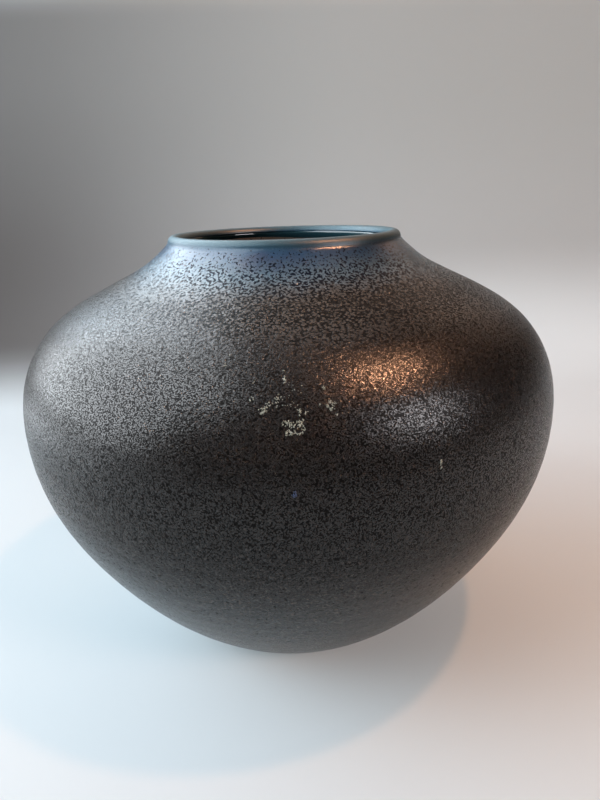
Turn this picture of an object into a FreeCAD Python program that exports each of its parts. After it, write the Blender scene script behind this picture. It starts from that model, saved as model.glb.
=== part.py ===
import FreeCAD, Part
import math
import os

# Wide-shouldered stoneware jar, thrown on the wheel, with a glazed outside and a glazed inside.
# Millimetres, +Z up. The origin is the centre of the foot ring's underside, on the turning axis.

# ---- driving dimensions ----
LIP_TOP_Z = 216.0            # overall height, foot to crest of the lip
FOOT_HEIGHT = 5.0            # the turned foot ring lifts the floor by this much
FOOT_OUTER_R = 54.0
FOOT_INNER_R = 46.5
FOOT_CHAMFER = 0.8           # both lower edges of the foot ring are eased
FLOOR_R = 50.0               # flat disc of the floor, which the wall grows from
FLOOR_THICKNESS = 7.0
OUTER_GLAZE = 1.1            # thickness of the glaze coats
LINER_GLAZE = 0.8
LIP_CLAY = 4.0               # the rolled lip's clay, across the roll

# Fired clay's outside, from the edge of the floor up to the lip: radius, height, wall thickness.
# Each joint between two thrown sections is at one of these stations.
STATIONS = [
    ("floor_edge", 58.0, 5.0, 8.0),
    ("glaze_line", 66.2, 11.4, 7.6),
    ("bowl_low", 86.4, 30.4, 6.8),
    ("bowl_mid", 112.6, 65.4, 6.2),
    ("bowl_high", 128.6, 98.5, 6.0),
    ("belly", 133.9, 131.0, 6.0),
    ("shoulder_turn", 130.5, 154.3, 6.0),
    ("shoulder", 119.0, 172.8, 6.0),
    ("glaze_change", 100.2, 185.9, 5.8),
    ("neck_foot", 77.0, 197.2, 5.4),
    ("neck", 68.3, 202.3, 5.0),
    ("lip_foot", 61.9, 207.5, 4.5),
    ("lip_side", 58.3, 210.9, 4.1),
    ("lip", 57.3, LIP_TOP_Z - OUTER_GLAZE - LIP_CLAY / 2, LIP_CLAY),
]
NAMES = [station[0] for station in STATIONS]

# Specks on the coat at the jar's front: bearing from the front in degrees (positive towards +X),
# height, length, width and slant in degrees. Each is a thin six-sided chip.
PALE_FLECKS = [
    (-0.8, 174.0, 4.0, 1.2, -15.0),
    (-3.2, 166.6, 5.0, 3.0, 60.0),
    (-1.8, 169.0, 2.6, 1.5, 30.0),
    (1.4, 164.6, 3.2, 1.1, -20.0),
    (0.4, 161.0, 5.5, 3.4, -60.0),
    (-0.3, 158.2, 3.0, 2.2, 50.0),
    (6.3, 165.4, 3.4, 2.2, 20.0),
    (5.5, 171.1, 1.6, 0.9, 40.0),
    (-11.2, 177.8, 1.8, 0.9, 30.0),
    (23.2, 142.2, 4.5, 0.9, 5.0),
]
BLUE_SPECK = (0.2, 137.6, 2.6, 2.2, 35.0)
SPECK_STAND = 0.35           # how far a speck stands proud of the coat
SPECK_TOP = 0.6              # a speck's top, as a share of its base
FRONT_BEARING = -90.0        # the front of the jar faces -Y
CLEAR_R = 200.0              # a radius outside every part of the jar

UP = FreeCAD.Vector(0, 0, 1)
OUT = FreeCAD.Vector(1, 0, 0)
AXIS_FOOT = FreeCAD.Vector(0, 0, 0)


def at(radius, height):
    """A point of the cross-section, in the XZ plane."""
    return FreeCAD.Vector(radius, 0, height)


def spline(points, start, end):
    """A smooth curve through the points that leaves along start and arrives along end."""
    curve = Part.BSplineCurve()
    curve.interpolate(Points=points, InitialTangent=start, FinalTangent=end)
    return curve


def station_normals(curve, points):
    """The clay's outward direction at each station."""
    normals = []
    for point in points:
        along = curve.tangent(curve.parameter(point))[0]
        normals.append(FreeCAD.Vector(along.z, 0, -along.x))
    return normals


CLAY_POINTS = [at(radius, height) for name, radius, height, wall in STATIONS]
WALLS = [station[3] for station in STATIONS]
CLAY_START = at(0.8, 0.6)    # the bowl leaves the floor's edge outwards, rising 3 in 4
CLAY_OUT = spline(CLAY_POINTS, CLAY_START, UP)
NORMALS = station_normals(CLAY_OUT, CLAY_POINTS)


def moved(depths):
    """The stations, each moved into the wall by its own depth (outwards where it is negative)."""
    return [p - n * d for p, n, d in zip(CLAY_POINTS, NORMALS, depths)]


# The inside curves start flat, at the rim of the floor disc.
FLOOR_TOP_Z = FOOT_HEIGHT + FLOOR_THICKNESS
INNER_POINTS = [at(FLOOR_R, FLOOR_TOP_Z)] + moved(WALLS)[1:]
LINER_POINTS = [at(FLOOR_R, FLOOR_TOP_Z + LINER_GLAZE)]
LINER_POINTS += moved([wall + LINER_GLAZE for wall in WALLS])[1:]
GLAZE_POINTS = moved([-OUTER_GLAZE for wall in WALLS])

CLAY_IN = spline(INNER_POINTS, OUT, UP)
LINER_IN = spline(LINER_POINTS, OUT, UP)
GLAZE_OUT = spline(GLAZE_POINTS, CLAY_START, UP)


def stretch(curve, points, first, last):
    """The piece of a curve between two stations, as an edge."""
    return curve.toShape(curve.parameter(points[first]), curve.parameter(points[last]))


def turned(edges):
    """The solid that a closed outline sweeps round the axis."""
    face = Part.Face(Part.Wire(Part.__sortEdges__(edges)))
    solid = face.revolve(AXIS_FOOT, UP, 360)
    return solid if solid.ShapeType == "Solid" else Part.Solid(Part.Shell(solid.Faces))


def line(a, b):
    return Part.makeLine(a, b)


def arc(start, middle, end):
    return Part.Arc(start, middle, end).toShape()


def band(inside, outside, first_name, last_name):
    """A ring of wall between two curves, from one station to another."""
    first, last = NAMES.index(first_name), NAMES.index(last_name)
    in_curve, in_points = inside
    out_curve, out_points = outside
    return turned([
        stretch(in_curve, in_points, first, last),
        line(in_points[last], out_points[last]),
        stretch(out_curve, out_points, first, last),
        line(in_points[first], out_points[first]),
    ])


CLAY_SIDE = (CLAY_OUT, CLAY_POINTS)
INNER_SIDE = (CLAY_IN, INNER_POINTS)


def foot_ring():
    """The trimmed ring that the jar stands on, left bare."""
    corners = [
        at(FOOT_INNER_R, FOOT_HEIGHT),
        at(FOOT_INNER_R, FOOT_CHAMFER),
        at(FOOT_INNER_R + FOOT_CHAMFER, 0),
        at(FOOT_OUTER_R - FOOT_CHAMFER, 0),
        at(FOOT_OUTER_R, FOOT_CHAMFER),
        at(FOOT_OUTER_R, FOOT_HEIGHT),
    ]
    return turned([line(a, b) for a, b in zip(corners, corners[1:] + corners[:1])])


def floor_disc():
    return Part.makeCylinder(FLOOR_R, FLOOR_THICKNESS, FreeCAD.Vector(0, 0, FOOT_HEIGHT))


def lower_wall():
    """The bowl: thrown up from the floor disc to the joint at the belly."""
    belly = NAMES.index("belly")
    return turned([
        line(at(FLOOR_R, FOOT_HEIGHT), CLAY_POINTS[0]),
        stretch(CLAY_OUT, CLAY_POINTS, 0, belly),
        line(CLAY_POINTS[belly], INNER_POINTS[belly]),
        stretch(CLAY_IN, INNER_POINTS, 0, belly),
        line(INNER_POINTS[0], at(FLOOR_R, FOOT_HEIGHT)),
    ])


def upper_wall():
    """The shoulder: a second thrown section, luted to the bowl at the belly."""
    return band(INNER_SIDE, CLAY_SIDE, "belly", "neck_foot")


def neck_collar():
    return band(INNER_SIDE, CLAY_SIDE, "neck_foot", "lip_foot")


LIP_CENTRE = (CLAY_POINTS[-1] + INNER_POINTS[-1]) * 0.5
CLAY_CREST = at(LIP_CENTRE.x, LIP_CENTRE.z + LIP_CLAY / 2)


def rolled_lip():
    """The top of the neck, thickened and rolled over into a half-round."""
    first, last = NAMES.index("lip_foot"), NAMES.index("lip")
    return turned([
        stretch(CLAY_IN, INNER_POINTS, first, last),
        arc(INNER_POINTS[last], CLAY_CREST, CLAY_POINTS[last]),
        stretch(CLAY_OUT, CLAY_POINTS, first, last),
        line(CLAY_POINTS[first], INNER_POINTS[first]),
    ])


def body_glaze():
    """The dark coat on the bowl and shoulder. Its lower edge is a round bead above the foot."""
    first, last = NAMES.index("glaze_line"), NAMES.index("glaze_change")
    downhill = FreeCAD.Vector(-NORMALS[first].z, 0, NORMALS[first].x) * -1
    middle = CLAY_POINTS[first] + NORMALS[first] * (OUTER_GLAZE / 2) + downhill * (OUTER_GLAZE / 2)
    return turned([
        stretch(CLAY_OUT, CLAY_POINTS, first, last),
        line(CLAY_POINTS[last], GLAZE_POINTS[last]),
        stretch(GLAZE_OUT, GLAZE_POINTS, first, last),
        arc(GLAZE_POINTS[first], middle, CLAY_POINTS[first]),
    ])


def neck_glaze():
    """The blue coat over the upper shoulder, the neck and the whole roll of the lip."""
    first, last = NAMES.index("glaze_change"), NAMES.index("lip")
    coat_inside = at(INNER_POINTS[last].x - OUTER_GLAZE, LIP_CENTRE.z)
    return turned([
        stretch(CLAY_OUT, CLAY_POINTS, first, last),
        arc(CLAY_POINTS[last], CLAY_CREST, INNER_POINTS[last]),
        line(INNER_POINTS[last], coat_inside),
        arc(coat_inside, at(LIP_CENTRE.x, LIP_TOP_Z), GLAZE_POINTS[last]),
        stretch(GLAZE_OUT, GLAZE_POINTS, first, last),
        line(GLAZE_POINTS[first], CLAY_POINTS[first]),
    ])


def liner_glaze():
    """The thin dark coat inside, over the floor and up the wall to the lip."""
    last = NAMES.index("lip")
    centre_low = at(0, FLOOR_TOP_Z)
    centre_high = at(0, FLOOR_TOP_Z + LINER_GLAZE)
    return turned([
        line(centre_low, INNER_POINTS[0]),
        stretch(CLAY_IN, INNER_POINTS, 0, last),
        line(INNER_POINTS[last], LINER_POINTS[last]),
        stretch(LINER_IN, LINER_POINTS, 0, last),
        line(LINER_POINTS[0], centre_high),
        line(centre_high, centre_low),
    ])


def hexagon(out, length, width):
    """A six-sided outline in the plane at this distance outwards, drawn out along Z."""
    corners = []
    for corner in range(7):
        turn = math.radians(60 * corner)
        corners.append(FreeCAD.Vector(out, width / 2 * math.cos(turn), length / 2 * math.sin(turn)))
    return Part.makePolygon(corners)


def speck(bearing, height, length, width, slant):
    """A flat six-sided chip lying on the coat, narrower at its top."""
    level = Part.LineSegment(at(0, height), at(CLEAR_R, height))
    hit = GLAZE_OUT.intersectCC(level)[0]
    along = GLAZE_OUT.tangent(GLAZE_OUT.parameter(at(hit.X, hit.Z)))[0]
    lean = math.degrees(math.atan2(along.x, along.z))
    low = hexagon(0, length, width)
    high = hexagon(SPECK_STAND, length * SPECK_TOP, width * SPECK_TOP)
    chip = Part.makeLoft([low, high], True, True)
    chip.rotate(AXIS_FOOT, OUT, slant)
    chip.rotate(AXIS_FOOT, FreeCAD.Vector(0, 1, 0), lean)
    chip.translate(at(hit.X, hit.Z))
    chip.rotate(AXIS_FOOT, UP, bearing + FRONT_BEARING)
    return chip


def specks(rows):
    return Part.makeCompound([speck(*row) for row in rows])


def build():
    """Every sub-part of the jar, by name."""
    return {
        "foot_ring": foot_ring(),
        "floor_disc": floor_disc(),
        "lower_wall": lower_wall(),
        "upper_wall": upper_wall(),
        "neck_collar": neck_collar(),
        "rolled_lip": rolled_lip(),
        "body_glaze": body_glaze(),
        "neck_glaze": neck_glaze(),
        "liner_glaze": liner_glaze(),
        "pale_flecks": specks(PALE_FLECKS),
        "blue_speck": specks([BLUE_SPECK]),
    }


os.makedirs("parts", exist_ok=True)
for name, shape in build().items():
    shape.exportStep(os.path.join("parts", name + ".step"))
    print(name, len(shape.Solids), "solid(s)", round(shape.Volume), "mm3", shape.isValid())
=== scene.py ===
import math
import random

import bmesh
import bpy
import numpy as np
from mathutils import Matrix, Vector, noise


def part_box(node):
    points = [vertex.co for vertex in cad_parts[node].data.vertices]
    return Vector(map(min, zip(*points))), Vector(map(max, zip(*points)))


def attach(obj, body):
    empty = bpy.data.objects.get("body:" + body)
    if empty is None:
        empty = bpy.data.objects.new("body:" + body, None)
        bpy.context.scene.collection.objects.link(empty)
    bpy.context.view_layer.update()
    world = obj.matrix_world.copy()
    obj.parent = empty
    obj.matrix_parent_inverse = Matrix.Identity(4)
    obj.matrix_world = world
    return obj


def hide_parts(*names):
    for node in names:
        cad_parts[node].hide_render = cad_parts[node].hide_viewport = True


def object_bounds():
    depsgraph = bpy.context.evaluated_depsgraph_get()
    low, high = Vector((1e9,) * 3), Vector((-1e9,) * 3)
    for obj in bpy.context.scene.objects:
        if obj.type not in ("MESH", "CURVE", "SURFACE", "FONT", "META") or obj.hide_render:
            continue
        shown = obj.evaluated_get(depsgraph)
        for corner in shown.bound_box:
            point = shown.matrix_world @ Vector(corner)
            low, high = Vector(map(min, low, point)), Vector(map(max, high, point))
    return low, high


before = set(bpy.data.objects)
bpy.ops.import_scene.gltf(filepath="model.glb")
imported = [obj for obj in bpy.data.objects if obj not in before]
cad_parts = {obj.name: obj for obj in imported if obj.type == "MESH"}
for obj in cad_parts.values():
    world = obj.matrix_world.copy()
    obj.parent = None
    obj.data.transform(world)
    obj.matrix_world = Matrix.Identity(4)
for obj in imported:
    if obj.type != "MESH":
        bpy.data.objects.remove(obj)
CAD_LOW, CAD_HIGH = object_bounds()

# A glazed stoneware jar, turned round the Z axis. Metres. Its front faces -Y.
MM = 0.001
BELLY_R = (CAD_HIGH.x - CAD_LOW.x) / 2
HEIGHT = CAD_HIGH.z

# ---------------------------------------------------------------- profile

COAT = 1.1 * MM                  # outer glaze coats
LINER = 0.8 * MM                 # inner glaze coat
LIP_CLAY = 4.0 * MM              # clay across the lip's roll
FLOOR_R = 50 * MM                # flat disc of the floor
RECESS_R = 46.5 * MM             # recess inside the foot ring
FOOT_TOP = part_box("foot_ring")[1].z
FLOOR_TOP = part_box("floor_disc")[1].z
LIP_Z = HEIGHT - COAT - LIP_CLAY / 2

# The clay's outside, from the floor's edge to the lip: name, radius, height, wall thickness, in mm.
STATIONS = [
    ("floor_edge", 58.0, FOOT_TOP / MM, 8.0),
    ("glaze_line", 66.2, 11.4, 7.6),
    ("bowl_low", 86.4, 30.4, 6.8),
    ("bowl_mid", 112.6, 65.4, 6.2),
    ("bowl_high", 128.6, 98.5, 6.0),
    ("belly", 133.9, 131.0, 6.0),
    ("shoulder_turn", 130.5, 154.3, 6.0),
    ("shoulder", 119.0, 172.8, 6.0),
    ("glaze_change", 100.2, 185.9, 5.8),
    ("neck_foot", 77.0, 197.2, 5.4),
    ("neck", 68.3, 202.3, 5.0),
    ("lip_foot", 61.9, 207.5, 4.5),
    ("lip_side", 58.3, 210.9, 4.1),
    ("lip", 57.3, LIP_Z / MM, LIP_CLAY / MM),
]
NAMES = [station[0] for station in STATIONS]


def clamped_spline(points, start, end):
    """Knot positions and slopes of the smooth curve through the points, from one direction to another."""
    points = np.array(points, float)
    gaps = np.linalg.norm(np.diff(points, axis=0), axis=1)
    knots = np.concatenate([[0.0], np.cumsum(gaps)])
    count = len(points)
    system = np.eye(count)
    right = np.zeros_like(points)
    right[0] = np.array(start) / np.linalg.norm(start)
    right[-1] = np.array(end) / np.linalg.norm(end)
    for i in range(1, count - 1):
        before, after = gaps[i - 1], gaps[i]
        system[i, i - 1 : i + 2] = after, 2 * (before + after), before
        rise = (points[i] - points[i - 1]) / before * after + (points[i + 1] - points[i]) / after * before
        right[i] = 3 * rise
    return knots, points, np.linalg.solve(system, right)


def along(curve, where):
    """Points and unit directions of a clamped_spline at some knot positions."""
    knots, points, slopes = curve
    where = np.asarray(where, float)
    i = np.clip(np.searchsorted(knots, where) - 1, 0, len(knots) - 2)
    gap = (knots[i + 1] - knots[i])[:, None]
    t = (where - knots[i])[:, None] / gap
    p0, p1, m0, m1 = points[i], points[i + 1], slopes[i] * gap, slopes[i + 1] * gap
    at = (2 * t**3 - 3 * t**2 + 1) * p0 + (t**3 - 2 * t**2 + t) * m0
    at += (3 * t**2 - 2 * t**3) * p1 + (t**3 - t**2) * m1
    way = (6 * t**2 - 6 * t) * (p0 - p1) + (3 * t**2 - 4 * t + 1) * m0 + (3 * t**2 - 2 * t) * m1
    return at, way / np.linalg.norm(way, axis=1)[:, None]


CLAY = np.array([station[1:3] for station in STATIONS]) * MM
WALLS = np.array([station[3] for station in STATIONS]) * MM
CLAY_OUT = clamped_spline(CLAY, (0.8, 0.6), (0, 1))
CLAY_WAYS = along(CLAY_OUT, CLAY_OUT[0])[1]
CLAY_NORMALS = np.stack([CLAY_WAYS[:, 1], -CLAY_WAYS[:, 0]], axis=1)


def inside_points(extra, floor_height):
    """Stations on the wall's inner side, the first of them moved to the rim of the flat floor."""
    points = CLAY - CLAY_NORMALS * (WALLS + extra)[:, None]
    points[0] = FLOOR_R, floor_height
    return points


CLAY_IN = clamped_spline(inside_points(0.0, FLOOR_TOP), (1, 0), (0, 1))
LINER_IN = clamped_spline(inside_points(LINER, FLOOR_TOP + LINER), (1, 0), (0, 1))
COAT_OUT = clamped_spline(CLAY + CLAY_NORMALS * COAT, (0.8, 0.6), (0, 1))


def run(curve, first, last, step):
    """Evenly spaced points of a curve between two stations."""
    a, b = curve[0][NAMES.index(first)], curve[0][NAMES.index(last)]
    return stretch(curve, a, b, step)


def stretch(curve, a, b, step):
    """Evenly spaced points of a curve between two of its knot positions."""
    count = max(2, round(abs(b - a) / step) + 1)
    return along(curve, np.linspace(a, b, count))[0]


def arc(centre, radius, start, end, count):
    """Points of a circular arc; angles in degrees, 0 pointing outwards and 90 up."""
    angles = np.radians(np.linspace(start, end, count))
    return np.array(centre) + radius * np.stack([np.cos(angles), np.sin(angles)], axis=1)


# ---------------------------------------------------------------- surface relief


def flow(points):
    """Coordinates wrapped round a drum, so that grain stretches down the slope where the jar narrows."""
    bearing = np.arctan2(points[:, 1], points[:, 0])
    radius = np.hypot(points[:, 0], points[:, 1])
    drum = BELLY_R * np.clip(radius / BELLY_R, 0.0, 1.0) ** 0.55
    reach = points[:, 2] - (BELLY_R - radius) * np.where(points[:, 2] > HEIGHT / 2, -0.75, 0.75)
    return np.stack([drum * np.cos(bearing), drum * np.sin(bearing), reach], axis=1)


def sampled(points, size, seed):
    """Soft noise of about this grain size at each point, from -1 to 1."""
    shift = Vector((seed * 7.31, seed * 3.17, seed * 5.53))
    return np.array([noise.noise(Vector(p) / size + shift) for p in points])


def cobbles(points, size, seed):
    """Rounded grains with narrow hollows between them: 1 on a grain's crown, 0 in a hollow."""
    shift = Vector((seed * 2.9, seed * 6.1, seed * 4.7))
    near = []
    for p in points:
        gaps = noise.voronoi(Vector(p) / size + shift)[0]
        near.append(gaps[1] - gaps[0])
    edge = np.clip(np.array(near) / 0.5, 0.0, 1.0)
    return edge * (2 - edge)


def smooth_step(low, high, value):
    t = np.clip((value - low) / (high - low), 0.0, 1.0)
    return t * t * (3 - 2 * t)


def turning_marks(points, pitch, seed):
    """The faint spiral that the fingers leave, and the slight unevenness of a hand-thrown wall."""
    bearing = np.arctan2(points[:, 1], points[:, 0])
    spiral = np.sin(2 * math.pi * points[:, 2] / pitch + bearing + 0.6 * sampled(points, 60 * MM, seed))
    uneven = sampled(points, 70 * MM, seed + 1)
    return 0.02 * MM * spiral + 0.30 * MM * uneven


def coat_relief(points):
    """How far the outer glaze stands off its even surface, in metres, and how proud each grain is."""
    wrapped = flow(points)
    grain = cobbles(wrapped, 2.1 * MM, 1)
    fine = sampled(wrapped, 1.4 * MM, 3)
    swell = sampled(wrapped, 5 * MM, 2)
    neck = smooth_step(0.90 * HEIGHT, 0.975 * HEIGHT, points[:, 2])
    depth = 0.06 * (1 - 0.7 * neck) * MM
    height = depth * (grain - 0.7) + (0.010 * fine + 0.012 * swell) * (1 - 0.5 * neck) * MM
    return height + turning_marks(points, 8.5 * MM, 4), grain


# ---------------------------------------------------------------- meshes


def swept(outline, columns):
    """An outline of (radius, height) carried round Z: its points and outward directions, row by row."""
    outline = np.asarray(outline, float)
    ways = np.gradient(outline, axis=0)
    ways /= np.linalg.norm(ways, axis=1)[:, None]
    bearings = np.linspace(0, 2 * math.pi, columns, endpoint=False)
    cos, sin = np.cos(bearings), np.sin(bearings)
    rings = []
    for across, up in ((outline[:, 0], outline[:, 1]), (ways[:, 1], -ways[:, 0])):
        flat = across[:, None]
        rings.append(np.stack([flat * cos, flat * sin, np.repeat(up[:, None], columns, axis=1)], axis=2))
    return rings


def relieved(outline, columns, relief, weights):
    """The outline's points, moved along their outward directions by the relief, and their grain."""
    points, outward = swept(outline, columns)
    shift, grain = relief(points.reshape(-1, 3))
    shape = points.shape[:2]
    return points + outward * (shift.reshape(shape) * weights[:, None])[:, :, None], grain.reshape(shape)


def turned_mesh(name, shown, hidden, columns, relief, weights, ghosts=(None, None)):
    """A closed skin turned round Z, from a shown outline with relief and a plain hidden one. A ghost is
    the shown outline's next point past an end, where another skin carries on: it makes no face, but
    both skins get the same shading across the joint."""
    before, after = ghosts
    lead = 0 if before is None else 1
    whole = ([] if before is None else [before]) + list(shown) + ([] if after is None else [after])
    share = np.ones(len(whole))
    share[lead : lead + len(shown)] = weights
    surface, grain = relieved(whole, columns, relief, share)
    around = np.roll(surface, -1, axis=1) - np.roll(surface, 1, axis=1)
    facing = np.cross(around, np.gradient(surface, axis=0))
    kept = slice(lead, lead + len(shown))
    back = swept(hidden[::-1], columns)[0]
    points = np.concatenate([surface[kept], back])
    shading = np.zeros_like(points)
    if before is not None:
        shading[0] = facing[lead]
    if after is not None:
        shading[len(shown) - 1] = facing[lead + len(shown) - 1]
    rows = len(points)
    grains = np.ones(points.shape[:2])
    grains[: len(shown)] = grain[kept]
    points, shading = points.reshape(-1, 3), shading.reshape(-1, 3)
    shading /= np.maximum(np.linalg.norm(shading, axis=1), 1e-12)[:, None]

    row = np.arange(rows)[:, None]
    col = np.arange(columns)[None, :]
    up, side = (row + 1) % rows, (col + 1) % columns
    faces = np.stack([
        row * columns + col, row * columns + side, up * columns + side, up * columns + col
    ], axis=2).reshape(-1, 4)
    mesh = bpy.data.meshes.new(name)
    mesh.vertices.add(len(points))
    mesh.vertices.foreach_set("co", points.ravel())
    mesh.loops.add(faces.size)
    mesh.loops.foreach_set("vertex_index", faces.ravel().astype(np.int32))
    mesh.polygons.add(len(faces))
    mesh.polygons.foreach_set("loop_start", np.arange(0, faces.size, 4, dtype=np.int32))
    mesh.polygons.foreach_set("use_smooth", np.ones(len(faces), dtype=bool))
    mesh.update(calc_edges=True)
    attribute = mesh.attributes.new("grain", "FLOAT", "POINT")
    attribute.data.foreach_set("value", grains.ravel().astype(np.float32))
    attribute = mesh.attributes.new("flow", "FLOAT_VECTOR", "POINT")
    attribute.data.foreach_set("vector", flow(points).ravel().astype(np.float32))
    mesh.validate()
    if before is not None or after is not None:
        mesh.normals_split_custom_set_from_vertices(shading)
    return mesh


def piece(name, mesh, material, slot, *nodes):
    """A finished piece of the jar, in place of one or more CAD nodes."""
    made = bpy.data.objects.new(name, mesh)
    bpy.context.scene.collection.objects.link(made)
    mesh.materials.append(material)
    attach(made, "root")
    if nodes:
        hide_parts(*nodes)
    return made


# ---------------------------------------------------------------- node materials


class Nodes:
    """Short names for building one material's node tree."""

    def __init__(self, name):
        self.material = bpy.data.materials.new(name)
        self.material.use_nodes = True
        self.tree = self.material.node_tree
        self.tree.nodes.clear()

    def put(self, socket, value):
        if isinstance(value, bpy.types.NodeSocket):
            self.tree.links.new(value, socket)
        else:
            socket.default_value = value

    def attribute(self, name, output):
        node = self.tree.nodes.new("ShaderNodeAttribute")
        node.attribute_name = name
        return node.outputs[output]

    def position(self):
        return self.tree.nodes.new("ShaderNodeTexCoord").outputs["Object"]

    def axis(self, name):
        """How far along one of the object's axes a point is."""
        node = self.tree.nodes.new("ShaderNodeSeparateXYZ")
        self.put(node.inputs[0], self.position())
        return node.outputs[name]

    def noise(self, vector, size, detail=2.0, roughness=0.5, shift=0.0):
        node = self.tree.nodes.new("ShaderNodeTexNoise")
        node.noise_dimensions = "4D"
        self.put(node.inputs["Vector"], vector)
        self.put(node.inputs["W"], shift)
        self.put(node.inputs["Scale"], 1 / size)
        self.put(node.inputs["Detail"], detail)
        self.put(node.inputs["Roughness"], roughness)
        return node.outputs[0]

    def cells(self, vector, size):
        """Distance from the middle of the nearest of many uneven cells, in cell sizes."""
        node = self.tree.nodes.new("ShaderNodeTexVoronoi")
        self.put(node.inputs["Vector"], vector)
        self.put(node.inputs["Scale"], 1 / size)
        return node.outputs["Distance"]

    def span(self, value, low, high, to_low=0.0, to_high=1.0):
        """value from low..high to to_low..to_high, eased and clamped."""
        node = self.tree.nodes.new("ShaderNodeMapRange")
        node.interpolation_type = "SMOOTHSTEP"
        for i, entry in enumerate((value, low, high, to_low, to_high)):
            self.put(node.inputs[i], entry)
        return node.outputs[0]

    def math(self, operation, a, b=0.0):
        node = self.tree.nodes.new("ShaderNodeMath")
        node.operation = operation
        self.put(node.inputs[0], a)
        self.put(node.inputs[1], b)
        return node.outputs[0]

    def mix(self, share, a, b):
        node = self.tree.nodes.new("ShaderNodeMix")
        node.data_type = "RGBA"
        self.put(node.inputs[0], share)
        self.put(node.inputs[6], a)
        self.put(node.inputs[7], b)
        return node.outputs[2]

    def nudge(self, vector, size, amount):
        """The vector, pushed about by soft noise."""
        node = self.tree.nodes.new("ShaderNodeTexNoise")
        self.put(node.inputs["Vector"], vector)
        self.put(node.inputs["Scale"], 1 / size)
        push = self.tree.nodes.new("ShaderNodeVectorMath")
        push.operation = "MULTIPLY_ADD"
        self.put(push.inputs[0], node.outputs["Color"])
        push.inputs[1].default_value = (amount, amount, amount)
        self.put(push.inputs[2], vector)
        return push.outputs[0]

    def product(self, a, b):
        return self.math("MULTIPLY", a, b)

    def bump(self, height, distance, strength=1.0):
        node = self.tree.nodes.new("ShaderNodeBump")
        self.put(node.inputs["Strength"], strength)
        self.put(node.inputs["Distance"], distance)
        self.put(node.inputs["Height"], height)
        return node.outputs[0]

    def finish(self, colour, roughness, normal, **constants):
        shader = self.tree.nodes.new("ShaderNodeBsdfPrincipled")
        self.put(shader.inputs["Base Color"], colour)
        self.put(shader.inputs["Roughness"], roughness)
        if normal is not None:
            self.put(shader.inputs["Normal"], normal)
        for key, value in constants.items():
            shader.inputs[key.replace("_", " ")].default_value = value
        output = self.tree.nodes.new("ShaderNodeOutputMaterial")
        self.tree.links.new(shader.outputs[0], output.inputs[0])
        return self.material


def rgb(red, green, blue):
    return (red, green, blue, 1.0)


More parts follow.
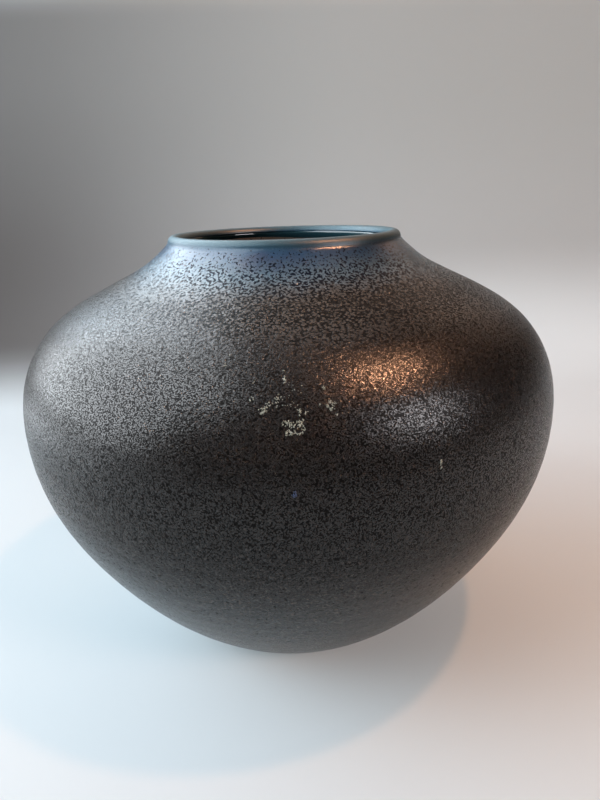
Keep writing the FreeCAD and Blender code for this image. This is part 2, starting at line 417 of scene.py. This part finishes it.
def outer_glaze():
    """The outer coats: cobalt blue on neck and lip, running out over a brown-black pitted body."""
    n = Nodes("outer_glaze")
    drum = n.attribute("flow", "Vector")
    # painted shade: the coat darkened in the hollows between the mesh's grains
    hollow = n.span(n.attribute("grain", "Fac"), 0.85, 0.25)
    height = n.axis("Z")
    side = n.axis("X")
    ragged = n.noise(drum, 5 * MM, 3.0, 0.65, 1.0)
    cloud = n.noise(n.position(), 38 * MM, 3.0, 0.5, 2.0)
    fine = n.noise(drum, 0.55 * MM, 2.0, 0.6, 4.0)

    # how far up the jar a point counts as being, with the ragged edges of a coat that ran
    push = n.product(n.math("SUBTRACT", ragged, 0.5), 8 * MM)
    drift = n.product(n.math("SUBTRACT", cloud, 0.5), 7 * MM)
    level = n.math("ADD", n.math("ADD", height, push), drift)
    blue = n.span(level, 0.900 * HEIGHT, 0.945 * HEIGHT)
    deep = n.span(level, 0.935 * HEIGHT, 0.972 * HEIGHT)
    tan = n.span(level, 0.82 * HEIGHT, 0.90 * HEIGHT)
    low = n.span(level, 0.72 * HEIGHT, 0.52 * HEIGHT)
    lip = n.span(height, 0.975 * HEIGHT, 0.996 * HEIGHT)

    # short dark marks where the coat drew apart, most of them in the blue band round the neck's foot,
    # and fewer of them on the side towards -X
    fewer_side = (-0.45 * BELLY_R, -0.05 * BELLY_R)
    wander = n.nudge(drum, 2.2 * MM, 1.0 * MM)
    marks = n.noise(wander, 1.5 * MM, 1.0, 0.5, 3.0)
    many = n.span(level, 0.85 * HEIGHT, 0.90 * HEIGHT)
    many = n.product(many, n.span(level, 0.99 * HEIGHT, 0.93 * HEIGHT))
    line = n.math("ADD", 0.370, n.product(many, n.span(side, *fewer_side, 0.070, 0.135)))
    line = n.math("SUBTRACT", line, n.product(lip, 0.2))
    gap = n.span(n.math("SUBTRACT", marks, line), 0.012, -0.022)

    # the web of dark pits over the body, coarser high on the shoulder and weaker below the belly
    upper = n.span(level, 0.79 * HEIGHT, 0.87 * HEIGHT)
    upper = n.product(upper, n.span(side, *fewer_side, 0.25, 1.0))
    wide_web = n.span(n.cells(wander, 1.25 * MM), 0.46, 0.58)
    fine_web = n.span(n.cells(wander, 0.68 * MM), 0.46, 0.62)
    web = n.product(fine_web, n.math("SUBTRACT", 1.0, upper))
    web = n.math("ADD", n.product(wide_web, upper), web)
    web = n.product(web, n.span(level, 0.925 * HEIGHT, 0.885 * HEIGHT, 0.10, 0.95))
    web = n.product(web, n.span(height, 0.35 * HEIGHT, 0.65 * HEIGHT, 0.60, 1.0))
    # painted shade in the grain hollows, weaker on the deep blue
    hollow = n.product(hollow, n.span(deep, 1.0, 0.0, 0.05, 0.30))
    dark = n.math("MAXIMUM", gap, n.math("MAXIMUM", web, hollow))

    # the colours of crowns, and of the pits, marks and painted hollow shade between them
    brown = n.mix(cloud, rgb(0.012, 0.0080, 0.0066), rgb(0.022, 0.014, 0.011))
    sand = n.mix(ragged, rgb(0.050, 0.032, 0.022), rgb(0.100, 0.070, 0.050))
    crown = n.mix(tan, brown, sand)
    slate = n.mix(ragged, rgb(0.110, 0.185, 0.245), rgb(0.175, 0.250, 0.300))
    cobalt = n.mix(ragged, rgb(0.024, 0.070, 0.150), rgb(0.060, 0.135, 0.225))
    cobalt = n.mix(n.span(cloud, 0.50, 0.66), cobalt, rgb(0.075, 0.090, 0.150))
    cobalt = n.mix(lip, cobalt, rgb(0.035, 0.100, 0.125))
    crown = n.mix(blue, crown, slate)
    crown = n.mix(deep, crown, cobalt)
    ground = n.mix(blue, rgb(0.005, 0.0035, 0.003), rgb(0.005, 0.009, 0.020))
    colour = n.mix(dark, crown, ground)

    # low on the bowl the coat is nearly black, with dots that crowd towards the foot; there they also
    # turn paler, painted light that stands in for the floor's reflection
    crowd = n.span(height, 0.55 * HEIGHT, 0.12 * HEIGHT, 0.600, 0.540)
    dots = n.noise(wander, 1.15 * MM, 1.0, 0.5, 5.0)
    dots = n.span(n.math("SUBTRACT", dots, crowd), -0.01, 0.05)
    # painted reflection: the dots' colour paler towards the foot
    painted_floor_bounce = n.span(height, 0.55 * HEIGHT, 0.15 * HEIGHT)
    dot_colour = n.mix(painted_floor_bounce, rgb(0.050, 0.045, 0.042), rgb(0.150, 0.130, 0.110))
    low_ground = n.mix(fine, rgb(0.004, 0.0035, 0.0035), rgb(0.011, 0.009, 0.008))
    colour = n.mix(low, colour, n.mix(dots, low_ground, dot_colour))

    # the crowns are smoothest on the neck, and the lip and the pits are rougher
    roughness = n.span(level, 0.80 * HEIGHT, 0.90 * HEIGHT, 0.17, 0.14)
    roughness = n.math("ADD", roughness, n.product(lip, 0.26))
    roughness = n.math("ADD", roughness, n.span(fine, 0.3, 0.7, 0.0, 0.06))
    roughness = n.math("ADD", roughness, n.product(dark, 0.12))

    # the pits mirror almost nothing, and the coat mirrors less on the bowl and from the upper shoulder up
    gloss = n.span(dark, 0.0, 1.0, 0.5, 0.07)
    gloss = n.product(gloss, n.span(height, 0.70 * HEIGHT, 0.45 * HEIGHT, 1.0, 0.66))
    gloss = n.product(gloss, n.span(level, 0.80 * HEIGHT, 0.88 * HEIGHT, 1.0, 0.72))

    grit = n.span(height, 0.95 * HEIGHT, 0.98 * HEIGHT, 0.65, 0.45)
    relief = n.math("SUBTRACT", n.product(fine, grit), n.product(dark, 0.45))
    relief = n.math("ADD", relief, n.product(n.product(dots, low), 0.35))
    made = n.finish(colour, roughness, n.bump(relief, 0.165 * MM), IOR=1.5)
    n.put(n.tree.nodes["Principled BSDF"].inputs["Specular IOR Level"], gloss)
    return made


def crystal(name, pale, warm):
    """Opaque crystals, a little uneven in tone."""
    n = Nodes(name)
    place = n.position()
    tone = n.noise(place, 0.8 * MM, 2.0, 0.6, 1.0)
    colour = n.mix(n.span(tone, 0.35, 0.65), warm, pale)
    normal = n.bump(n.noise(place, 0.35 * MM, 2.0, 0.6, 2.0), 0.08 * MM, 0.8)
    return n.finish(colour, n.span(tone, 0.3, 0.7, 0.32, 0.55), normal, IOR=1.55)


def liner():
    """The glossy blue-black coat inside."""
    n = Nodes("liner")
    place = n.position()
    cloud = n.noise(place, 14 * MM, 3.0, 0.55, 1.0)
    near_lip = n.span(n.axis("Z"), 0.94 * HEIGHT, 0.985 * HEIGHT)
    colour = n.mix(cloud, rgb(0.006, 0.010, 0.013), rgb(0.014, 0.026, 0.032))
    colour = n.mix(near_lip, colour, n.mix(cloud, rgb(0.020, 0.055, 0.068), rgb(0.035, 0.085, 0.100)))
    roughness = n.span(cloud, 0.3, 0.7, 0.08, 0.14)
    normal = n.bump(n.noise(place, 2.5 * MM, 2.0, 0.5, 2.0), 0.12 * MM, 0.6)
    return n.finish(colour, roughness, normal, IOR=1.52)


def bare_clay():
    """Dry brown stoneware, with darker iron spots and fine grog."""
    n = Nodes("bare_clay")
    place = n.position()
    cloud = n.noise(place, 18 * MM, 4.0, 0.6, 1.0)
    grit = n.noise(place, 0.7 * MM, 2.0, 0.7, 2.0)
    spot = n.span(n.noise(place, 1.6 * MM, 1.0, 0.5, 3.0), 0.64, 0.70)
    colour = n.mix(cloud, rgb(0.105, 0.062, 0.040), rgb(0.190, 0.120, 0.082))
    colour = n.mix(spot, colour, rgb(0.030, 0.018, 0.013))
    colour = n.mix(n.span(grit, 0.58, 0.74), colour, rgb(0.260, 0.190, 0.140))
    normal = n.bump(grit, 0.25 * MM, 0.9)
    return n.finish(colour, n.span(grit, 0.3, 0.7, 0.72, 0.92), normal, IOR=1.45)


# ---------------------------------------------------------------- the jar's pieces

glaze_material = outer_glaze()
liner_material = liner()
clay_material = bare_clay()
crystal_material = crystal("pale_crystal", rgb(0.62, 0.60, 0.50), rgb(0.30, 0.28, 0.20))
blue_material = crystal("blue_crystal", rgb(0.030, 0.090, 0.230), rgb(0.012, 0.035, 0.110))

COLUMNS = 1150
LINER_COLUMNS = 400
FOOT_COLUMNS = 720
STEP = 2 * math.pi * BELLY_R / COLUMNS      # between rows of a shown skin, as wide as its columns
SPARSE = 9 * MM                  # between rows of a hidden skin
BODY_BANDS = 4                   # the body coat is made in this many bands, one above another


def beyond(curve, knot, distance):
    """The curve's point at a distance past one of its knot positions."""
    return along(curve, [knot + distance])[0][0]


def knot_of(name):
    """Where a station is, on the coat's outside and on the clay under it."""
    return COAT_OUT[0][NAMES.index(name)], CLAY_OUT[0][NAMES.index(name)]


def coat_band(name, slot, node, low, high, head=(), tail=(), under=(), ghosts=(True, True)):
    """A band of outer glaze between two (coat, clay) knot positions. head and tail are further points
    of its shown outline, before and after, and under those of its hidden one, after."""
    shown = list(head) + list(stretch(COAT_OUT, low[0], high[0], STEP)) + list(tail)
    hidden = list(stretch(CLAY_OUT, low[1], high[1], SPARSE)) + list(under)
    weights = np.ones(len(shown))
    weights[: len(head)] = 0
    before = beyond(COAT_OUT, low[0], -STEP) if ghosts[0] else None
    after = beyond(COAT_OUT, high[0], STEP) if ghosts[1] else None
    mesh = turned_mesh(name, shown, hidden, COLUMNS, coat_relief, weights, (before, after))
    return piece(name, mesh, glaze_material, slot, node)


def body_glaze():
    """The brown-black coat, from its bead above the foot up to where the blue begins."""
    first = NAMES.index("glaze_line")
    way = CLAY_WAYS[first]
    slope = math.degrees(math.atan2(way[1], way[0]))
    centre = CLAY[first] + CLAY_NORMALS[first] * COAT / 2
    bead = arc(centre, 0.5 * COAT, slope - 270, slope - 90, 9)[1:-1]
    low, high = np.array(knot_of("glaze_line")), np.array(knot_of("glaze_change"))
    for band in range(BODY_BANDS):
        start = low + (high - low) * band / BODY_BANDS
        end = low + (high - low) * (band + 1) / BODY_BANDS
        coat_band(f"body_glaze_{band + 1}", "dark_glaze", "body_glaze", start, end,
                  head=bead if band == 0 else (), ghosts=(band > 0, True))


LIP_CENTRE = np.array([CLAY[-1][0] - LIP_CLAY / 2, LIP_Z])


def neck_glaze():
    """The blue coat over the upper shoulder and neck, and round the whole roll of the lip."""
    coat_band("neck_glaze", "blue_glaze", "neck_glaze", knot_of("glaze_change"), knot_of("lip_foot"))
    roll = arc(LIP_CENTRE, LIP_CLAY / 2 + COAT, 0, 180, 22)[1:]
    clay_roll = arc(LIP_CENTRE, LIP_CLAY / 2, 0, 180, 9)[1:]
    coat_band("lip_glaze", "blue_glaze", "neck_glaze", knot_of("lip_foot"), knot_of("lip"),
              tail=roll, under=clay_roll, ghosts=(True, False))


def liner_relief(points):
    """Finger ridges inside the wall, which throwing leaves plainer than outside."""
    return 3 * turning_marks(points, 9 * MM, 11), np.ones(len(points))


def liner_glaze():
    """The coat inside, over the floor and up the wall to the lip."""
    centre = 0.2 * MM
    floor = np.linspace(2 * MM, FLOOR_R, 24)[:-1]
    shown = [(centre, FLOOR_TOP + LINER)] + [(radius, FLOOR_TOP + LINER) for radius in floor]
    shown += list(run(LINER_IN, "floor_edge", "lip", 1.3 * MM))
    hidden = [(centre, FLOOR_TOP)] + list(run(CLAY_IN, "floor_edge", "lip", SPARSE))
    shown = np.array(shown)[::-1]
    weights = smooth_step(0, 20 * MM, shown[:, 0])
    mesh = turned_mesh("liner_glaze", shown, hidden[::-1], LINER_COLUMNS, liner_relief, weights)
    return piece("liner_glaze", mesh, liner_material, "liner_glaze", "liner_glaze")


def foot_relief(points):
    """Drag marks from the trimming tool, and a little wear."""
    height = 0.10 * MM * sampled(points * np.array([0.12, 0.12, 1.0]), 0.7 * MM, 21)
    return height + 0.12 * MM * sampled(points, 3 * MM, 22), np.ones(len(points))


def foot_ring():
    """The trimmed ring of bare clay that the jar stands on, its lower edges rounded by the sponge."""
    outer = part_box("foot_ring")[1].x
    ease = 0.8 * MM
    step = 0.7 * MM
    shown = [(outer, FOOT_TOP - k * step) for k in range(6)]
    shown += list(arc((outer - ease, ease), ease, 0, -90, 7))
    shown += [(radius, 0.0) for radius in np.linspace(outer - ease, RECESS_R + ease, 9)[1:-1]]
    shown += list(arc((RECESS_R + ease, ease), ease, -90, -180, 7))
    shown += [(RECESS_R, ease + k * step) for k in range(1, 6)] + [(RECESS_R, FOOT_TOP)]
    shown = np.array(shown)[::-1]
    weights = smooth_step(0, 1.2 * MM, FOOT_TOP - shown[:, 1])
    weights *= smooth_step(-0.1 * MM, 0.5 * MM, shown[:, 1])
    hidden = [(RECESS_R + 1.5 * MM, FOOT_TOP), (outer - 1.5 * MM, FOOT_TOP)]
    mesh = turned_mesh("foot_ring_trimmed", shown, hidden, FOOT_COLUMNS, foot_relief, weights)
    return piece("foot_ring_trimmed", mesh, clay_material, "bare_clay", "foot_ring")


# ---- specks on the coat

COAT_TABLE = run(COAT_OUT, "bowl_low", "lip_foot", 0.5 * MM)


def on_coat(bearing, height):
    """A point of the coat, with its outward, sideways and uphill directions. Bearing in degrees from
    the front, positive towards +X."""
    at = np.searchsorted(COAT_TABLE[:, 1], height)
    low, high = COAT_TABLE[at - 1], COAT_TABLE[at]
    radius = np.interp(height, [low[1], high[1]], [low[0], high[0]])
    lean = math.atan2(high[1] - low[1], high[0] - low[0])
    turn = math.radians(bearing)
    across = Vector((math.cos(turn), math.sin(turn), 0))
    away = Vector((math.sin(turn), -math.cos(turn), 0))
    uphill = away * math.cos(lean) + Vector((0, 0, math.sin(lean)))
    out = away * math.sin(lean) - Vector((0, 0, math.cos(lean)))
    return away * radius + Vector((0, 0, height)), out, across, uphill


def add_crystal(mesh, place, out, across, uphill, slant, length, width, seed):
    """One crystal: a low lump, longer one way, with an uneven edge."""
    made = bmesh.ops.create_icosphere(mesh, subdivisions=2, radius=1.0)
    lie = across * math.sin(slant) + uphill * math.cos(slant)
    side = out.cross(lie)
    for vertex in made["verts"]:
        p = vertex.co
        uneven = 1 + 0.45 * noise.noise(p * 1.3 + Vector((seed * 1.7, seed * 0.9, 3.1)))
        local = lie * (p.x * length / 2 * uneven) + side * (p.y * width / 2 * uneven)
        vertex.co = place + local + out * (p.z * 0.26 * MM * uneven + 0.03 * MM)


CROWDING = 1.6                   # crystals made for each one that a cluster counts


def crystal_cluster(mesh, chance, bearing, height, across_size, up_size, count, length):
    """Crystals thrown over an oval patch of the coat; sizes in mm, most of them near its middle."""
    for _ in range(round(CROWDING * count)):
        away, turn = chance.random() ** 0.6, chance.uniform(0, 2 * math.pi)
        sideways = across_size / 2 * away * math.cos(turn)
        upwards = up_size / 2 * away * math.sin(turn)
        _, _, _, uphill = on_coat(bearing, height)
        z = height + upwards * MM * uphill.z
        radius = on_coat(bearing, z)[0].xy.length
        place, out, across, uphill = on_coat(bearing + math.degrees(sideways * MM / radius), z)
        long = length * chance.uniform(0.3, 0.9) * MM
        add_crystal(mesh, place, out, across, uphill, chance.uniform(-1.2, 1.2), long,
                    chance.uniform(0.24, 0.44) * MM, chance.uniform(0, 50))


# Clusters of crystals: the bearing in degrees; the height, and the patch's width and height, in mm;
# a count; and a length in mm, which chance shortens.
CLUSTERS = [
    (-0.8, 174.0, 1.2, 3.6, 7, 1.5),
    (-1.0, 176.4, 1.0, 1.4, 2, 1.0),
    (-4.2, 165.2, 3.2, 2.6, 16, 1.1),
    (-3.0, 166.8, 4.5, 3.2, 10, 0.9),
    (-1.9, 168.6, 2.6, 3.4, 9, 1.0),
    (-6.0, 168.8, 2.0, 2.6, 3, 0.8),
    (1.4, 164.6, 1.0, 3.0, 6, 1.7),
    (2.5, 164.4, 1.6, 2.4, 4, 0.9),
    (-0.6, 161.3, 3.6, 2.2, 11, 1.4),
    (0.8, 159.6, 6.4, 4.8, 20, 1.3),
    (-0.4, 158.3, 3.0, 1.8, 12, 1.1),
    (1.6, 161.4, 2.2, 2.6, 6, 1.2),
    (6.4, 165.9, 3.6, 3.4, 13, 1.1),
    (6.3, 164.9, 1.2, 1.2, 5, 0.8),
    (7.0, 163.2, 0.8, 1.6, 2, 0.8),
    (5.5, 171.1, 1.2, 1.8, 4, 0.9),
    (4.6, 166.6, 1.2, 1.2, 2, 0.8),
    (-11.3, 178.0, 1.4, 1.4, 3, 0.8),
    (-10.7, 180.4, 1.0, 1.0, 2, 0.7),
    (-5.7, 173.4, 1.6, 1.6, 2, 0.8),
    (0.5, 168.5, 9.0, 12.0, 14, 0.5),
    (23.2, 142.2, 0.5, 3.6, 7, 1.4),
]


def specks(name, clusters, material, slot, node, seed):
    """A mesh of crystal clusters that lie on the coat."""
    chance = random.Random(seed)
    lumps = bmesh.new()
    for bearing, height, *rest in clusters:
        crystal_cluster(lumps, chance, bearing, height * MM, *rest)
    for face in lumps.faces:
        face.smooth = True
    mesh = bpy.data.meshes.new(name)
    lumps.to_mesh(mesh)
    lumps.free()
    return piece(name, mesh, material, slot, node)


body_glaze()
neck_glaze()
liner_glaze()
foot_ring()
specks("pale_crystals", CLUSTERS, crystal_material, "pale_crystal", "pale_flecks", 5)
specks("blue_crystals", [(0.2, 137.6, 2.2, 2.6, 12, 0.9)], blue_material, "blue_glaze", "blue_speck", 8)
for node in ("floor_disc", "lower_wall", "upper_wall", "neck_collar", "rolled_lip"):
    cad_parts[node].data.materials.clear()
    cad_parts[node].data.materials.append(clay_material)

# ---------------------------------------------------------------- camera

EYE = Vector((0, -2.345 * BELLY_R, HEIGHT + 0.137 * BELLY_R))
PITCH, YAW, ROLL = math.radians(-19.08), math.radians(-1.0), math.radians(-1.7)


def add_camera():
    data = bpy.data.cameras.new("camera")
    data.lens, data.sensor_width = 27, 36
    made = bpy.data.objects.new("camera", data)
    turn = Matrix.Rotation(YAW, 4, "Z") @ Matrix.Rotation(math.pi / 2 + PITCH, 4, "X")
    made.matrix_world = Matrix.Translation(EYE) @ turn @ Matrix.Rotation(ROLL, 4, "Z")
    bpy.context.scene.collection.objects.link(made)
    bpy.context.scene.camera = made


add_camera()

# ---------------------------------------------------------------- stage and light


SWEEP_FLAT, SWEEP_BEND, SWEEP_TOP, SWEEP_WIDE = 0.36, 0.34, 1.52, 1.7


def sweep_material():
    """Pale paper for the floor, greyer towards its front end and up the back. Painted shade darkens the
    back on its left, most of all low down, and the back is darker again at its far right. The top of
    the back, above the picture, glows as painted light, standing in for paper lit cool beside the
    window and warm beside the lamp."""
    n = Nodes("paper")
    x, y, z = n.axis("X"), n.axis("Y"), n.axis("Z")
    tone = n.noise(n.position(), 250 * MM, 2.0, 0.5, 1.0)
    floor = n.mix(tone, rgb(0.78, 0.78, 0.78), rgb(0.84, 0.84, 0.84))
    floor = n.mix(n.span(y, -0.34, -0.60), floor, rgb(0.22, 0.22, 0.22))
    # painted shade: the left of the back, darkest low down
    painted_shade_left = n.mix(n.span(z, 0.10, 0.42), rgb(0.120, 0.104, 0.098), rgb(0.215, 0.200, 0.192))
    bright = n.mix(n.span(z, 0.05, 0.40), rgb(0.45, 0.43, 0.42), rgb(0.42, 0.405, 0.39))
    back = n.mix(n.span(x, -0.50, 0.15), painted_shade_left, bright)
    # darker again at the far right of the back
    back = n.mix(n.span(x, 0.52, 0.80), back, rgb(0.16, 0.13, 0.11))
    share = n.math("ADD", n.product(n.span(x, 0.35, -0.35), n.span(y, 0.35, 0.53)),
                   n.product(n.span(x, -0.35, 0.35), n.span(z, 0.0, 0.16)))
    colour = n.mix(share, floor, back)
    # painted light: the top of the back glows, cool on the left beside the window and warm on the right
    # beside the lamp, standing in for lit paper
    painted_glow = n.mix(n.span(x, -0.05, 0.35), rgb(1.50, 1.12, 0.88), rgb(1.00, 0.66, 0.48))
    painted_glow = n.mix(n.span(x, -0.45, -0.10), rgb(2.30, 2.60, 2.80), painted_glow)
    painted_glow = n.mix(n.span(z, 0.48, 0.70), rgb(0, 0, 0), painted_glow)
    made = n.finish(colour, n.span(tone, 0.3, 0.7, 0.75, 0.85), None, Emission_Strength=1.0, IOR=1.1)
    n.put(n.tree.nodes["Principled BSDF"].inputs["Emission Color"], painted_glow)
    return made


def add_sweep():
    """The floor, curving up into a backdrop whose top edge is an arch."""
    columns = 68
    profile = [(-1.6, 0.0), (0.0, 0.0), (SWEEP_FLAT, 0.0)]
    for step in range(1, 17):
        angle = math.radians(step * 90 / 16)
        profile.append((SWEEP_FLAT + SWEEP_BEND * math.sin(angle), SWEEP_BEND * (1 - math.cos(angle))))
    rows = len(profile)
    profile += [(SWEEP_FLAT + SWEEP_BEND, k / 12) for k in range(1, 13)]
    verts, faces = [], []
    for row, (y, z) in enumerate(profile):
        for col in range(columns + 1):
            x = SWEEP_WIDE * (2 * col / columns - 1)
            edge = SWEEP_TOP - 0.9 * (math.hypot(x - 0.05, 0.15) - 0.15)
            rise = max(0.05, edge - SWEEP_BEND)
            verts.append((x, y, z if row < rows else SWEEP_BEND + z * rise))
    for row in range(len(profile) - 1):
        for col in range(columns):
            a = row * (columns + 1) + col
            faces.append((a, a + 1, a + columns + 2, a + columns + 1))
    mesh = bpy.data.meshes.new("sweep")
    mesh.from_pydata(verts, [], faces)
    mesh.polygons.foreach_set("use_smooth", [True] * len(faces))
    made = bpy.data.objects.new("sweep", mesh)
    bpy.context.scene.collection.objects.link(made)
    mesh.materials.append(sweep_material())
    return made


def add_light(name, azimuth, elevation, distance, size, radiance, spread=180, sheen=False, only=None):
    """An area light. Azimuth is from +Y towards +X; radiance is what its face shows, by colour, within
    its spread. A sheen light only shows as a reflection, and any other only lights what is matt. With
    only, it lights nothing but that object."""
    a, e = math.radians(azimuth), math.radians(elevation)
    way = Vector((math.sin(a) * math.cos(e), math.cos(a) * math.cos(e), math.sin(e)))
    data = bpy.data.lights.new(name, "AREA")
    data.shape, data.size, data.size_y = "RECTANGLE", size[0], size[1]
    strongest = max(radiance)
    data.energy = strongest * math.pi * size[0] * size[1]
    data.color = [share / strongest for share in radiance]
    data.spread = math.radians(spread)
    made = bpy.data.objects.new(name, data)
    made.location = Vector((0, 0, 0.12)) + way * distance
    made.rotation_mode = "QUATERNION"
    made.rotation_quaternion = way.to_track_quat("Z", "Y")
    made.visible_camera = False
    made.visible_glossy = sheen
    made.visible_diffuse = not sheen
    if only is not None:
        made.light_linking.receiver_collection = bpy.data.collections.new(name)
        made.light_linking.receiver_collection.objects.link(only)
    bpy.context.scene.collection.objects.link(made)


sweep = add_sweep()
add_light("window", -84, 36, 1.3, (1.3, 1.1), (0.78, 1.05, 1.25), spread=110)
add_light("window_near", -112, 30, 1.5, (1.0, 1.0), (1.45, 1.75, 1.92), spread=110)
add_light("lamp", 119, 68, 1.2, (0.06, 0.06), (240, 116, 52))
add_light("far_fill", 129, 25, 1.4, (0.35, 0.30), (20, 15, 13), only=sweep)
add_light("front_fill", 168, 12, 2.2, (2.0, 0.8), (4.2, 5.2, 5.6), only=sweep)
add_light("window_sheen", -84, 36, 0.95, (1.7, 1.3), (6.9, 7.4, 7.8), sheen=True)
add_light("window_edge", -38, 40, 0.85, (0.38, 0.70), (2.2, 2.8, 3.3), sheen=True)
add_light("overhead_sheen", 24, 73, 1.1, (0.55, 0.32), (1.7, 1.45, 1.35), sheen=True)
add_light("floor_sheen", -84, -10, 0.6, (0.55, 0.17), (2.2, 2.35, 2.5), sheen=True)
add_light("lamp_sheen", 118, 56.5, 1.2, (0.09, 0.08), (950, 465, 255), sheen=True)
add_light("far_sheen", 128, 22, 1.4, (0.58, 0.42), (13.5, 13.0, 13.4), sheen=True)

world = bpy.data.worlds.new("room")
world.use_nodes = True
world.node_tree.nodes["Background"].inputs[0].default_value = (0.05, 0.047, 0.047, 1.0)
world.node_tree.nodes["Background"].inputs[1].default_value = 1.0
bpy.context.scene.world = world
bpy.context.scene.view_settings.view_transform = "Standard"
